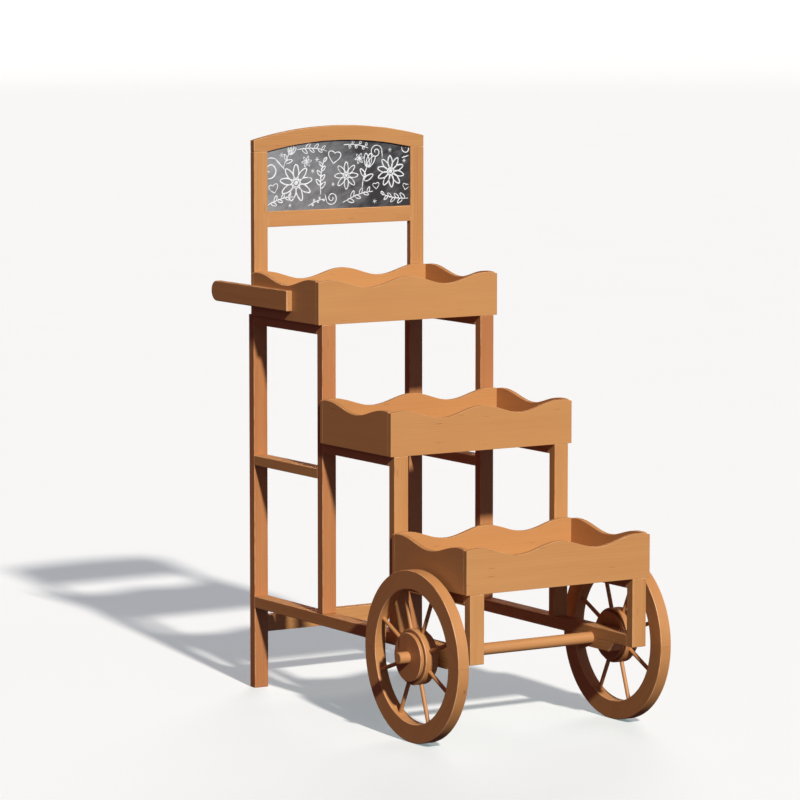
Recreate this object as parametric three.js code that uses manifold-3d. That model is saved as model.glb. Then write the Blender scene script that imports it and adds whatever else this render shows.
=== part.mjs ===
// Three-tier timber flower cart stand on a pair of spoked wagon wheels.
//
// Millimetres, +Z up, +X to the right when the stand is seen from the front.
// The stand's own frame has y = 0 at the face of the lowest tray and y growing
// towards the back; the exported group is moved so that the origin is at the
// bottom centre of the whole stand.

import * as THREE from "three";
import { mergeVertices } from "three/addons/utils/BufferGeometryUtils.js";
import Module from "manifold-3d";

// ---------------------------------------------------------------- sizes

// Timber stock and fits.
const POST_WIDTH = 38; // across the stand
const POST_DEPTH = 24; // front to back
const ARRIS = 1; // eased edge on every sawn piece
const GLUE_GAP = 0.3; // glue line left between two pieces that butt together

// Side frames.
const FRAME_WIDTH = 488; // over the outer faces of the posts
const BAY_DEPTH = 322; // from one row of posts to the next
const BOTTOM_RAIL_HEIGHT = 28;
const STRETCHER_HEIGHT = 24;
const STRETCHER_BOTTOM = 553; // of the rail that ties the two rear posts
const BEARER_HEIGHT = 24; // of the rails that carry the tray sides
const CROSS_RAIL_HEIGHT = 40;
const CROSS_RAIL_BOTTOM = 138;

// Trays.
const LOWEST_TRAY_BOTTOM = 361;
const TRAY_RISE = 281; // from one tray to the next
const TRAY_OVERHANG = 10; // of the tray sides past the posts
const TRAY_CLEARANCE = 5; // between a tray's back board and the next row of posts
const BOARD_THICKNESS = 12;
const FLOOR_THICKNESS = 9;
const CORNER_HEIGHT = 102; // of a tray board at its ends
const CREST_RISE = 3.5; // of the scallop's crests above the ends
const SCALLOP_DEPTH = 22; // from crest to hollow
const SHOULDER = 34; // from a board's end to its first crest
const FRONT_SCALLOPS = 2; // hollows along a front or back board
const SIDE_SCALLOPS = 1; // hollows along a side board
const STEPS_PER_SCALLOP = 14;

// Wheels and axle.
const WHEEL_RADIUS = 200;
const RIM_WIDTH = 44; // measured along a radius
const RIM_THICKNESS = 29;
const FELLOES = 4; // segments that make up one rim
const SPOKES = 8;
const SPOKE_LEAD = 0.06; // radians the spokes stand past half a pitch, tops towards the front
const SPOKE_DIAMETER = 10;
const SOCKET_DEPTH = 14; // of the spoke sockets in the rim
const HUB_RADIUS = 65;
const HUB_THICKNESS = 30;
const HUB_CAP_RADIUS = 57;
const HUB_CAP_THICKNESS = 9;
const WHEEL_SIDE_CLEARANCE = 12; // between a rim and the side of the lowest tray
const AXLE_RADIUS = 14;
const AXLE_SETBACK = 170; // of the axle behind the lowest tray's face
const AXLE_STICK_OUT = 27; // past the outer hub cap
const AXLE_CLEARANCE = 0.5; // running clearance in the bearings
const BLOCK_LENGTH = 190; // of a bearing block, along its top
const BLOCK_HEIGHT = 23;
const BLOCK_CHAMFER = 25; // length of each sloping end

// Push handles.
const HANDLE_THICKNESS = 15;
const HANDLE_HEIGHT = 50;
const HANDLE_SETBACK = 123; // of the handle's front end behind the top tray's face
const HANDLE_REACH = 140; // behind the rear posts
const HANDLE_RISE = 24; // of its lower edge above the tray's bottom

// Header with its board.
const HEADER_DEPTH = 18;
const HEADER_HEIGHT = 396; // of the uprights, from the top of the rear posts
const HEADER_BAR_HEIGHT = 38;
const HEADER_BAR_RISE = 212; // of the bar's lower edge above the rear posts
const ARCH_RISE = 22.5; // of the top rail's underside, from its springing to its crown
const ARCH_WIDTH = 36; // of the top rail, measured along a radius
const PANEL_THICKNESS = 6;
const PANEL_TONGUE = 6; // how far the panel sits in the frame's groove
const GROOVE_CLEARANCE = 0.3;

// ---------------------------------------------------------------- worked out

const HALF_FRAME = FRAME_WIDTH / 2;
const POST_X = HALF_FRAME - POST_WIDTH / 2;
const INNER_WIDTH = FRAME_WIDTH - 2 * POST_WIDTH;
const TRAY_WIDTH = FRAME_WIDTH + 2 * TRAY_OVERHANG;
const TRAY_DEPTH = BAY_DEPTH - TRAY_CLEARANCE;
const REAR_POST_Y = 3 * BAY_DEPTH;
const AXLE_Z = WHEEL_RADIUS;
const RAIL_BOTTOM = AXLE_Z; // the bearings part on the axle's centre line
const RAIL_TOP = RAIL_BOTTOM + BOTTOM_RAIL_HEIGHT;
const TRAY_BOTTOMS = [0, 1, 2].map((step) => LOWEST_TRAY_BOTTOM + step * TRAY_RISE);
const REAR_POST_TOP = TRAY_BOTTOMS[2];
const RIM_INNER_RADIUS = WHEEL_RADIUS - RIM_WIDTH;
const WHEEL_X = TRAY_WIDTH / 2 + WHEEL_SIDE_CLEARANCE + RIM_THICKNESS / 2;
const CAP_X = HUB_THICKNESS / 2 + GLUE_GAP + HUB_CAP_THICKNESS / 2;
const AXLE_LENGTH = 2 * (WHEEL_X + CAP_X + HUB_CAP_THICKNESS / 2 + AXLE_STICK_OUT);
const BORE_RADIUS = AXLE_RADIUS + GLUE_GAP;
const BEARING_RADIUS = AXLE_RADIUS + AXLE_CLEARANCE;
const HEADER_TOP = REAR_POST_TOP + HEADER_HEIGHT;
const ARCH_RADIUS = ((INNER_WIDTH / 2) ** 2 + ARCH_RISE ** 2) / (2 * ARCH_RISE);
const ARCH_CENTRE = HEADER_TOP + ARCH_RISE - ARCH_RADIUS;
const HANDLE_BACK = REAR_POST_Y + POST_DEPTH + HANDLE_REACH;
const STAND_FRONT = Math.min(0, AXLE_SETBACK - WHEEL_RADIUS);
const STAND_CENTRE_Y = (STAND_FRONT + HANDLE_BACK) / 2;

const SIDES = { left: -1, right: 1 };
const QUARTER = Math.PI / 2;

// ---------------------------------------------------------------- finishes

const paint = (color, roughness, metalness = 0) => () =>
  new THREE.MeshStandardMaterial({ color, roughness, metalness });

const timber = paint(0xc08850, 0.6);
const dowelTimber = paint(0xcd955f, 0.55);
const wheelTimber = paint(0xb87a45, 0.6);
const slate = paint(0x2e2e31, 0.45);

// ---------------------------------------------------------------- solids

const wasm = await Module();
wasm.setup();

/** A closed geometry as a solid that can be joined and cut. */
function solid(geometry) {
  const bare = geometry.clone();
  bare.deleteAttribute("normal");
  bare.deleteAttribute("uv");
  const merged = mergeVertices(bare, 1e-4);
  return new wasm.Manifold(
    new wasm.Mesh({
      numProp: 3,
      vertProperties: new Float32Array(merged.attributes.position.array),
      triVerts: new Uint32Array(merged.index.array),
    }),
  );
}

/** A solid back as a geometry with flat shaded faces. */
function geometryOf(shape) {
  const mesh = shape.getMesh();
  const indexed = new THREE.BufferGeometry();
  indexed.setAttribute("position", new THREE.BufferAttribute(mesh.vertProperties, 3));
  indexed.setIndex(new THREE.BufferAttribute(mesh.triVerts, 1));
  const geometry = indexed.toNonIndexed();
  geometry.computeVertexNormals();
  return geometry;
}

/** The first geometry with all the others cut out of it. */
function cut(body, ...tools) {
  return geometryOf(tools.reduce((left, tool) => left.subtract(solid(tool)), solid(body)));
}

/** All the geometries joined into one. */
function join(...parts) {
  return geometryOf(parts.slice(1).reduce((sum, part) => sum.add(solid(part)), solid(parts[0])));
}

/** An outline given by its corners. */
function outline(corners) {
  return new THREE.Shape(corners.map(([u, v]) => new THREE.Vector2(u, v)));
}

/** An outline given a thickness, with both its faces' edges eased, centred on its mid-plane. */
function easedPlate(shape, thickness, curveSegments = 12) {
  const depth = thickness - 2 * ARRIS;
  const geometry = new THREE.ExtrudeGeometry(shape, {
    depth,
    curveSegments,
    steps: 1,
    bevelThickness: ARRIS,
    bevelSize: ARRIS,
    bevelOffset: -ARRIS,
    bevelSegments: 1,
  });
  return geometry.translate(0, 0, -depth / 2);
}

/** An outline given a thickness with sharp edges, centred on its mid-plane. */
function plainPlate(shape, thickness, curveSegments = 12) {
  const options = { depth: thickness, curveSegments, steps: 1, bevelEnabled: false };
  return new THREE.ExtrudeGeometry(shape, options).translate(0, 0, -thickness / 2);
}

/** A squared piece of timber with every edge eased, centred on its middle. */
function stick(sizeX, sizeY, sizeZ) {
  const x = sizeX / 2;
  const y = sizeY / 2;
  const corners = [
    [x, y - ARRIS],
    [x - ARRIS, y],
    [ARRIS - x, y],
    [-x, y - ARRIS],
    [-x, ARRIS - y],
    [ARRIS - x, -y],
    [x - ARRIS, -y],
    [x, ARRIS - y],
  ];
  return easedPlate(outline(corners), sizeZ);
}

/** A plate drawn in X and Y stood up so that its outline lies in X and Z. */
const faceFront = (plate) => plate.rotateX(QUARTER);

/** A plate drawn in X and Y turned so that its outline lies in Y and Z. */
const faceSide = (plate) => plate.rotateX(QUARTER).rotateZ(QUARTER);

/** A round bar along X, centred, with its ends' edges chamfered. */
function roundBar(radius, length, segments, chamfer) {
  const half = length / 2;
  const profile = [
    new THREE.Vector2(0, -half),
    new THREE.Vector2(radius - chamfer, -half),
    new THREE.Vector2(radius, chamfer - half),
    new THREE.Vector2(radius, half - chamfer),
    new THREE.Vector2(radius - chamfer, half),
    new THREE.Vector2(0, half),
  ];
  return new THREE.LatheGeometry(profile, segments).rotateZ(-QUARTER);
}

/** A plain cylinder along X, centred, for boring holes. */
function drill(radius, length, segments = 32) {
  return new THREE.CylinderGeometry(radius, radius, length, segments).rotateZ(QUARTER);
}

/** A turned disc whose axis is X, bored for the axle, with its edges eased. */
function boredDisc(radius, thickness) {
  const half = thickness / 2;
  const profile = [
    new THREE.Vector2(BORE_RADIUS, -half),
    new THREE.Vector2(radius - ARRIS, -half),
    new THREE.Vector2(radius, ARRIS - half),
    new THREE.Vector2(radius, half - ARRIS),
    new THREE.Vector2(radius - ARRIS, half),
    new THREE.Vector2(BORE_RADIUS, half),
    new THREE.Vector2(BORE_RADIUS, -half),
  ];
  return new THREE.LatheGeometry(profile, 48).rotateZ(-QUARTER);
}

/** A named mesh at its place in its group. */
function piece(name, geometry, finish, x = 0, y = 0, z = 0) {
  const mesh = new THREE.Mesh(geometry, finish());
  mesh.name = name;
  mesh.position.set(x, y, z);
  return mesh;
}

function groupOf(...members) {
  const group = new THREE.Group();
  group.add(...members.flat());
  return group;
}

// ---------------------------------------------------------------- side frames

/** An upright piece of post stock with its front face at frontY. */
function post(name, side, frontY, bottom, top, depth = POST_DEPTH) {
  const height = top - bottom - GLUE_GAP;
  const geometry = stick(POST_WIDTH, depth, height);
  return piece(name, geometry, timber, side * POST_X, frontY + depth / 2, bottom + height / 2);
}

/** A rail of one side frame that butts between two posts. */
function sideRail(name, side, frontY, backY, bottom, height, cutter) {
  const length = backY - frontY - 2 * GLUE_GAP;
  const middle = (frontY + backY) / 2;
  const blank = stick(POST_WIDTH, length, height);
  const geometry = cutter ? cut(blank, cutter(middle, bottom + height / 2)) : blank;
  return piece(name, geometry, timber, side * POST_X, middle, bottom + height / 2);
}

/** The round seat of the axle, as a cutter for a piece centred at (y, z). */
function axleSeat(y, z) {
  return drill(BEARING_RADIUS, 2 * POST_WIDTH).translate(0, AXLE_SETBACK - y, AXLE_Z - z);
}

/** The block that closes the bearing under the bottom rail, with sloping ends. */
function bearingBlock(name, side) {
  const top = BLOCK_LENGTH / 2;
  const foot = top - BLOCK_CHAMFER;
  const half = (BLOCK_HEIGHT - GLUE_GAP) / 2;
  const z = RAIL_BOTTOM - GLUE_GAP - half;
  const shape = outline([
    [-foot, -half],
    [foot, -half],
    [top, half],
    [-top, half],
  ]);
  const geometry = cut(faceSide(easedPlate(shape, POST_WIDTH)), axleSeat(AXLE_SETBACK, z));
  return piece(name, geometry, timber, side * POST_X, AXLE_SETBACK, z);
}

/** The posts, rails, stretcher and bearers of one side. */
function sideFrame(label, side) {
  const rows = ["front", "second", "third"];
  const posts = rows.map((row, step) => {
    const bottom = step === 0 ? RAIL_BOTTOM : RAIL_TOP + GLUE_GAP;
    return post(`${row}_post_${label}`, side, step * BAY_DEPTH, bottom, TRAY_BOTTOMS[step]);
  });
  const levels = ["lower", "middle", "upper"];
  const bearers = levels.map((level, step) => {
    const front = step * BAY_DEPTH + POST_DEPTH;
    const bottom = TRAY_BOTTOMS[step] - BEARER_HEIGHT;
    const back = (step + 1) * BAY_DEPTH;
    return sideRail(`${level}_bearer_${label}`, side, front, back, bottom, BEARER_HEIGHT - GLUE_GAP);
  });
  const stretcherFront = 2 * BAY_DEPTH + POST_DEPTH;
  return groupOf(
    posts,
    post(`rear_post_${label}`, side, REAR_POST_Y, 0, REAR_POST_TOP),
    bearers,
    sideRail(`bottom_rail_${label}`, side, POST_DEPTH, REAR_POST_Y, RAIL_BOTTOM, BOTTOM_RAIL_HEIGHT, axleSeat),
    sideRail(`stretcher_${label}`, side, stretcherFront, REAR_POST_Y, STRETCHER_BOTTOM, STRETCHER_HEIGHT),
    bearingBlock(`bearing_block_${label}`, side),
  );
}

/** The low rail that ties the two rear posts together. */
function crossRail() {
  const geometry = stick(INNER_WIDTH - 2 * GLUE_GAP, POST_DEPTH, CROSS_RAIL_HEIGHT);
  const z = CROSS_RAIL_BOTTOM + CROSS_RAIL_HEIGHT / 2;
  return piece("rear_cross_rail", geometry, timber, 0, REAR_POST_Y + POST_DEPTH / 2, z);
}

// ---------------------------------------------------------------- trays

/** Height of the scalloped edge at a distance from one end of a board. */
function scallopHeight(distance, length, scallops) {
  const crest = CORNER_HEIGHT + CREST_RISE;
  const fromEnd = Math.min(distance, length - distance);
  if (fromEnd < SHOULDER) {
    return crest - CREST_RISE * (1 - fromEnd / SHOULDER) ** 2;
  }
  const phase = (distance - SHOULDER) / (length - 2 * SHOULDER);
  return crest - (SCALLOP_DEPTH * (1 - Math.cos(2 * Math.PI * scallops * phase))) / 2;
}

/** A tray board whose top edge is cut in waves, centred on its length, foot at v = 0. */
function scallopedBoard(length, fullLength, scallops) {
  const half = length / 2;
  const trim = (fullLength - length) / 2;
  const steps = STEPS_PER_SCALLOP * scallops;
  const inner = fullLength - 2 * SHOULDER;
  const stations = [0, SHOULDER / 2];
  for (let i = 0; i <= steps; i += 1) {
    stations.push(SHOULDER + (inner * i) / steps);
  }
  stations.push(fullLength - SHOULDER / 2, fullLength);
  const kept = stations.filter((d) => d > trim && d < fullLength - trim);
  const along = [trim, ...kept, fullLength - trim];
  const crestLine = along.map((d) => [d - fullLength / 2, scallopHeight(d, fullLength, scallops)]);
  return easedPlate(outline([[-half, 0], [half, 0], ...crestLine.reverse()]), BOARD_THICKNESS);
}

/** One open tray: boards round a floor panel, its front face at y = 0, its foot at z = 0. */
function tray(label) {
  const frontShape = () => faceFront(scallopedBoard(TRAY_WIDTH, TRAY_WIDTH, FRONT_SCALLOPS));
  const lining = BOARD_THICKNESS + GLUE_GAP;
  const innerDepth = TRAY_DEPTH - 2 * lining;
  const sideShape = () => faceSide(scallopedBoard(innerDepth, TRAY_DEPTH, SIDE_SCALLOPS));
  const sideX = (TRAY_WIDTH - BOARD_THICKNESS) / 2;
  const floor = stick(TRAY_WIDTH - 2 * lining, innerDepth, FLOOR_THICKNESS);
  const backY = TRAY_DEPTH - BOARD_THICKNESS / 2;
  const middleY = TRAY_DEPTH / 2;
  return groupOf(
    piece(`${label}_tray_front`, frontShape(), timber, 0, BOARD_THICKNESS / 2, 0),
    piece(`${label}_tray_back`, frontShape(), timber, 0, backY, 0),
    piece(`${label}_tray_side_left`, sideShape(), timber, -sideX, middleY, 0),
    piece(`${label}_tray_side_right`, sideShape(), timber, sideX, middleY, 0),
    piece(`${label}_tray_floor`, floor, timber, 0, middleY, FLOOR_THICKNESS / 2),
  );
}

/** The three trays, each a bay further back and a rise higher than the last. */
function trays() {
  return ["lower", "middle", "upper"].map((label, step) => {
    const group = tray(label);
    group.position.set(0, step * BAY_DEPTH, TRAY_BOTTOMS[step]);
    return group;
  });
}

/** A push handle: a board screwed to the top tray's side, its rear end rounded as a grip. */
function handle(label, side) {
  const front = 2 * BAY_DEPTH + HANDLE_SETBACK;
  const length = HANDLE_BACK - front;
  const half = HANDLE_HEIGHT / 2;
  const shape = new THREE.Shape();
  shape.moveTo(0, -half);
  shape.lineTo(length - half, -half);
  shape.absarc(length - half, 0, half, -QUARTER, QUARTER);
  shape.lineTo(0, half);
  const geometry = faceSide(easedPlate(shape, HANDLE_THICKNESS, 6));
  const x = side * (TRAY_WIDTH / 2 + GLUE_GAP + HANDLE_THICKNESS / 2);
  const z = TRAY_BOTTOMS[2] + HANDLE_RISE + half;
  return piece(`handle_${label}`, geometry, timber, x, front, z);
}

// ---------------------------------------------------------------- header

/** The board's outline in X and Z, grown by a margin on every edge. */
function panelOutline(margin) {
  const half = INNER_WIDTH / 2 + PANEL_TONGUE + margin;
  const bottom = REAR_POST_TOP + HEADER_BAR_RISE + HEADER_BAR_HEIGHT - PANEL_TONGUE - margin;
  const radius = ARCH_RADIUS + PANEL_TONGUE + margin;
  const spread = Math.asin(half / radius);
  const shape = new THREE.Shape();
  shape.moveTo(-half, bottom);
  shape.lineTo(half, bottom);
  shape.absarc(0, ARCH_CENTRE, radius, QUARTER - spread, QUARTER + spread);
  return shape;
}

/** The arched rail that caps both uprights. */
function archRail(groove) {
  const spread = Math.asin(INNER_WIDTH / 2 / ARCH_RADIUS);
  const outerRadius = ARCH_RADIUS + ARCH_WIDTH;
  const outerSpread = Math.asin(HALF_FRAME / outerRadius);
  const shape = new THREE.Shape();
  shape.moveTo(-HALF_FRAME, HEADER_TOP);
  shape.lineTo(-INNER_WIDTH / 2, HEADER_TOP);
  shape.absarc(0, ARCH_CENTRE, ARCH_RADIUS, QUARTER + spread, QUARTER - spread, true);
  shape.lineTo(HALF_FRAME, HEADER_TOP);
  shape.absarc(0, ARCH_CENTRE, outerRadius, QUARTER - outerSpread, QUARTER + outerSpread);
  return piece("header_arch", cut(faceFront(easedPlate(shape, HEADER_DEPTH, 10)), groove), timber);
}

/** Uprights behind the top tray, with a bar and an arch that hold the board in a groove. */
function header() {
  const panel = faceFront(plainPlate(panelOutline(0), PANEL_THICKNESS, 10));
  const grooveWidth = PANEL_THICKNESS + 2 * GROOVE_CLEARANCE;
  const groove = () => faceFront(plainPlate(panelOutline(GROOVE_CLEARANCE), grooveWidth, 10));
  const uprightHeight = HEADER_HEIGHT - GLUE_GAP;
  const uprights = Object.entries(SIDES).map(([label, side]) => {
    const blank = stick(POST_WIDTH, HEADER_DEPTH, uprightHeight);
    blank.translate(side * POST_X, 0, REAR_POST_TOP + uprightHeight / 2);
    return piece(`header_upright_${label}`, cut(blank, groove()), timber);
  });
  const barZ = REAR_POST_TOP + HEADER_BAR_RISE + HEADER_BAR_HEIGHT / 2;
  const bar = stick(INNER_WIDTH - 2 * GLUE_GAP, HEADER_DEPTH, HEADER_BAR_HEIGHT).translate(0, 0, barZ);
  const group = groupOf(
    uprights,
    piece("header_bar", cut(bar, groove()), timber),
    archRail(groove()),
    piece("chalkboard", panel, slate),
  );
  group.position.y = 2 * BAY_DEPTH + TRAY_DEPTH + GLUE_GAP + HEADER_DEPTH / 2;
  return group;
}

// ---------------------------------------------------------------- wheels

/** Angle of a spoke, as a turn about X from straight back. */
const spokeAngle = (index) => ((index + 0.5) * 2 * Math.PI) / SPOKES + SPOKE_LEAD;

/** A bar drawn along X turned to lie along a radius of the wheel. */
function alongRadius(bar, angle, middleRadius) {
  return bar.rotateZ(QUARTER).translate(0, middleRadius, 0).rotateX(angle);
}

/** One segment of the rim, with a blind socket for each spoke that ends in it. */
function felloe(index) {
  const sweep = (2 * Math.PI) / FELLOES;
  const outerTrim = Math.asin(GLUE_GAP / 2 / WHEEL_RADIUS);
  const innerTrim = Math.asin(GLUE_GAP / 2 / RIM_INNER_RADIUS);
  const start = index * sweep;
  const shape = new THREE.Shape();
  shape.absarc(0, 0, WHEEL_RADIUS, start + outerTrim, start + sweep - outerTrim);
  shape.absarc(0, 0, RIM_INNER_RADIUS, start + sweep - innerTrim, start + innerTrim, true);
  const blank = faceSide(easedPlate(shape, RIM_THICKNESS, 9));
  const sockets = [];
  for (let spoke = 0; spoke < SPOKES; spoke += 1) {
    const angle = spokeAngle(spoke);
    if (angle > start && angle < start + sweep) {
      const bit = drill(SPOKE_DIAMETER / 2 + GLUE_GAP, 2 * SOCKET_DEPTH, 16);
      sockets.push(alongRadius(bit, angle, RIM_INNER_RADIUS));
    }
  }
  return cut(blank, ...sockets);
}

/** The turned hub with its round spokes. */
function spokedHub() {
  const from = BORE_RADIUS + 2 * ARRIS;
  const to = RIM_INNER_RADIUS + SOCKET_DEPTH - GLUE_GAP;
  const spokes = [];
  for (let index = 0; index < SPOKES; index += 1) {
    const bar = roundBar(SPOKE_DIAMETER / 2, to - from, 16, ARRIS);
    spokes.push(alongRadius(bar, spokeAngle(index), (from + to) / 2));
  }
  return join(boredDisc(HUB_RADIUS, HUB_THICKNESS), ...spokes);
}

/** One wheel: rim segments, spoked hub and a cap disc on each face of the hub. */
function wheel(label, side) {
  const rim = Array.from({ length: FELLOES }, (_, index) =>
    piece(`felloe_${label}_${index + 1}`, felloe(index), wheelTimber),
  );
  const group = groupOf(
    rim,
    piece(`hub_${label}`, spokedHub(), wheelTimber),
    piece(`hub_cap_outer_${label}`, boredDisc(HUB_CAP_RADIUS, HUB_CAP_THICKNESS), wheelTimber, side * CAP_X),
    piece(`hub_cap_inner_${label}`, boredDisc(HUB_CAP_RADIUS, HUB_CAP_THICKNESS), wheelTimber, -side * CAP_X),
  );
  group.position.x = side * WHEEL_X;
  return group;
}

/** Both wheels on their axle, which turns as one. */
function wheelset() {
  const wheels = Object.entries(SIDES).map(([label, side]) => wheel(label, side));
  const axle = piece("axle", roundBar(AXLE_RADIUS, AXLE_LENGTH, 48, 1.5 * ARRIS), dowelTimber);
  const group = groupOf(wheels, axle);
  group.position.set(0, AXLE_SETBACK, AXLE_Z);
  return group;
}

// ---------------------------------------------------------------- the stand

const sides = Object.entries(SIDES);
const stand = groupOf(
  sides.map(([label, side]) => sideFrame(label, side)),
  crossRail(),
  trays(),
  sides.map(([label, side]) => handle(label, side)),
  header(),
  wheelset(),
);
stand.position.y = -STAND_CENTRE_Y;

const root = new THREE.Group();
root.add(stand);

export default root;
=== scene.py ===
"""Looks of the timber flower cart stand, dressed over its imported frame.

Metres, +Z up, -Y towards the lowest tray. Each sub-assembly is a class that builds its meshes and
dresses them; straight sawn pieces stay the frame's own solids and get a finish of their own.
"""

from __future__ import annotations

import logging
import math
import random
from collections.abc import Callable, Iterable, Sequence
from dataclasses import dataclass
from enum import Enum

import bmesh
import bpy
from mathutils import Matrix, Vector

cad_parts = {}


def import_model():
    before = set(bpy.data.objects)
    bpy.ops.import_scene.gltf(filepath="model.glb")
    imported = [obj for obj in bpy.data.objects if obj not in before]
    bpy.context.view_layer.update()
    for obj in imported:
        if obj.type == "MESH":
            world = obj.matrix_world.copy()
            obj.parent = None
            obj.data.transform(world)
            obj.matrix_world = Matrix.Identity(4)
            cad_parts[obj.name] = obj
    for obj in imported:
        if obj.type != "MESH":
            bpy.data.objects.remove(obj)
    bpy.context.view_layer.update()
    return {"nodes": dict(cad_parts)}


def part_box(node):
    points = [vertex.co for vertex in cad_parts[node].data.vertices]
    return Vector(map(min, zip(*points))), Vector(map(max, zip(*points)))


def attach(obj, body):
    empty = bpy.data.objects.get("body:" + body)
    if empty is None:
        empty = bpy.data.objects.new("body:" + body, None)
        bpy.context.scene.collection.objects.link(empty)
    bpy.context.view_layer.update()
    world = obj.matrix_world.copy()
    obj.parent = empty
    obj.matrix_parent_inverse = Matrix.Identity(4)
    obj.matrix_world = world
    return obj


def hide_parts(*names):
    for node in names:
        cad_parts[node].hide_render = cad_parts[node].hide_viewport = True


LOG = logging.getLogger("cart")
SIDES = {"left": -1, "right": 1}
LEVELS = ("lower", "middle", "upper")
GRAIN = "timber"
# Name of the stored mask of painted shade at the hub seams.
SEAM_SHADE = "grime"
TURN = 2 * math.pi
QUARTER = math.pi / 2

Triple = tuple[float, float, float]
Point = tuple[float, float]
Piece = bpy.types.Object
Nodes = dict[str, Piece]
Screw = tuple[Triple, Triple]
Grain = Callable[[Vector], Sequence[float]]
Coat = tuple["Timber", int]


# ---- node trees


def _operator(operation: str, swapped: bool = False) -> Callable[[Value, Value | float], Value]:
    """An overloaded operator over a Math node, its terms swapped for a reflected form."""

    def method(self: Value, other: Value | float) -> Value:
        """Adds the Math node."""
        terms = (other, self) if swapped else (self, other)
        return self.graph.math(operation, *terms)

    return method


class Value:
    """An output socket that takes part in Python expressions."""

    __add__ = _operator("ADD")
    __radd__ = _operator("ADD", swapped=True)
    __sub__ = _operator("SUBTRACT")
    __rsub__ = _operator("SUBTRACT", swapped=True)
    __mul__ = _operator("MULTIPLY")
    __rmul__ = _operator("MULTIPLY", swapped=True)
    __truediv__ = _operator("DIVIDE")
    __mod__ = _operator("FLOORED_MODULO")
    __pow__ = _operator("POWER")
    max = _operator("MAXIMUM")

    def __init__(self, graph: Graph, socket: bpy.types.NodeSocket) -> None:
        """Wraps one output socket of a graph."""
        self.graph = graph
        self.socket = socket

    def __abs__(self) -> Value:
        """Size without sign."""
        return self.graph.math("ABSOLUTE", self)

    def step(self, low: float, high: float) -> Value:
        """Smooth rise from 0 at low to 1 at high."""
        settings = {"interpolation_type": "SMOOTHSTEP"}
        inputs = {"Value": self, "From Min": low, "From Max": high}
        return self.graph.pick("ShaderNodeMapRange", settings, inputs)

    def scaled(self, factors: Sequence[float]) -> Value:
        """This vector times a fixed one."""
        return self._with("MULTIPLY", tuple(factors))

    def moved(self, offset: Sequence[float] | Value) -> Value:
        """This vector plus another."""
        return self._with("ADD", offset if isinstance(offset, Value) else tuple(offset))

    def _with(self, operation: str, other: Triple | Value) -> Value:
        """One Vector Math node on this vector and another."""
        settings = {"operation": operation}
        return self.graph.pick("ShaderNodeVectorMath", settings, {0: self, 1: other})

    def parts(self) -> tuple[Value, Value, Value]:
        """The three numbers of this vector."""
        node = self.graph.node("ShaderNodeSeparateXYZ", {}, {0: self})
        return tuple(Value(self.graph, socket) for socket in node.outputs)


class Graph:
    """A node tree whose sockets are handled as values."""

    def __init__(self, tree: bpy.types.NodeTree) -> None:
        """Empties the tree and wraps it."""
        self.tree = tree
        self.tree.nodes.clear()

    def node(
        self, kind: str, settings: dict | None = None, inputs: dict | None = None
    ) -> bpy.types.Node:
        """Adds a node.

        Args:
            kind: The node's type.
            settings: Its own properties, which are set first.
            inputs: Values or links for its sockets, by name or place; a list for a socket that
                takes several links.

        Returns:
            The new node.
        """
        node = self.tree.nodes.new(kind)
        for key, value in (settings or {}).items():
            setattr(node, key, value)
        for key, value in (inputs or {}).items():
            for item in value if isinstance(value, list) else [value]:
                if isinstance(item, Value):
                    self.tree.links.new(item.socket, node.inputs[key])
                else:
                    node.inputs[key].default_value = item
        return node

    def pick(
        self,
        kind: str,
        settings: dict | None = None,
        inputs: dict | None = None,
        output: int | str = 0,
    ) -> Value:
        """Adds a node and returns one of its outputs."""
        return Value(self, self.node(kind, settings, inputs).outputs[output])

    def math(self, operation: str, *terms: Value | float) -> Value:
        """One Math node over the given terms."""
        return self.pick("ShaderNodeMath", {"operation": operation}, dict(enumerate(terms)))

    def mix(self, factor: Value | float, first: Value | Triple, second: Value | Triple) -> Value:
        """A colour between the first, where the factor is 0, and the second, where it is 1."""
        ends = [c if isinstance(c, Value) else (*c, 1.0) for c in (first, second)]
        inputs = {0: factor, 6: ends[0], 7: ends[1]}
        return self.pick("ShaderNodeMix", {"data_type": "RGBA"}, inputs, 2)


class Paint(Graph):
    """The node tree of one material."""

    def __init__(self, name: str) -> None:
        """Starts a new material."""
        self.material = bpy.data.materials.new(name)
        self.material.use_nodes = True
        super().__init__(self.material.node_tree)

    def coord(self, output: str) -> Value:
        """One of the texture coordinates."""
        return self.pick("ShaderNodeTexCoord", {}, {}, output)

    def stored(self, name: str, output: str) -> Value:
        """One output of a mesh attribute."""
        return self.pick("ShaderNodeAttribute", {"attribute_name": name}, {}, output)

    def noise(
        self, place: Value, scale: float | Triple, detail: float = 2.0, rough: float = 0.5
    ) -> Value:
        """Noise around 0.5, of one frequency per metre or one for each axis."""
        place = place.scaled(scale if isinstance(scale, tuple) else (scale,) * 3)
        inputs = {"Vector": place, "Scale": 1.0, "Detail": detail, "Roughness": rough}
        return self.pick("ShaderNodeTexNoise", {}, inputs)

    def cells(self, place: Value) -> tuple[Value, tuple[Value, Value, Value]]:
        """Distance to the nearest of scattered points, and three random numbers of its own."""
        inputs = {"Vector": place, "Scale": 1.0}
        node = self.node("ShaderNodeTexVoronoi", {"feature": "F1"}, inputs)
        return Value(self, node.outputs["Distance"]), Value(self, node.outputs["Color"]).parts()

    def finish(
        self, shader: dict, height: Value | None = None, depth: float = 0.0
    ) -> bpy.types.Material:
        """Closes the tree with a Principled shader, bumped by a height of a depth in metres."""
        if height is not None:
            bump = {"Height": height, "Distance": depth, "Strength": 1.0}
            shader = {**shader, "Normal": self.pick("ShaderNodeBump", {}, bump)}
        surface = self.pick("ShaderNodeBsdfPrincipled", {}, shader)
        self.node("ShaderNodeOutputMaterial", {}, {"Surface": surface})
        return self.material


# ---- finishes


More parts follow.
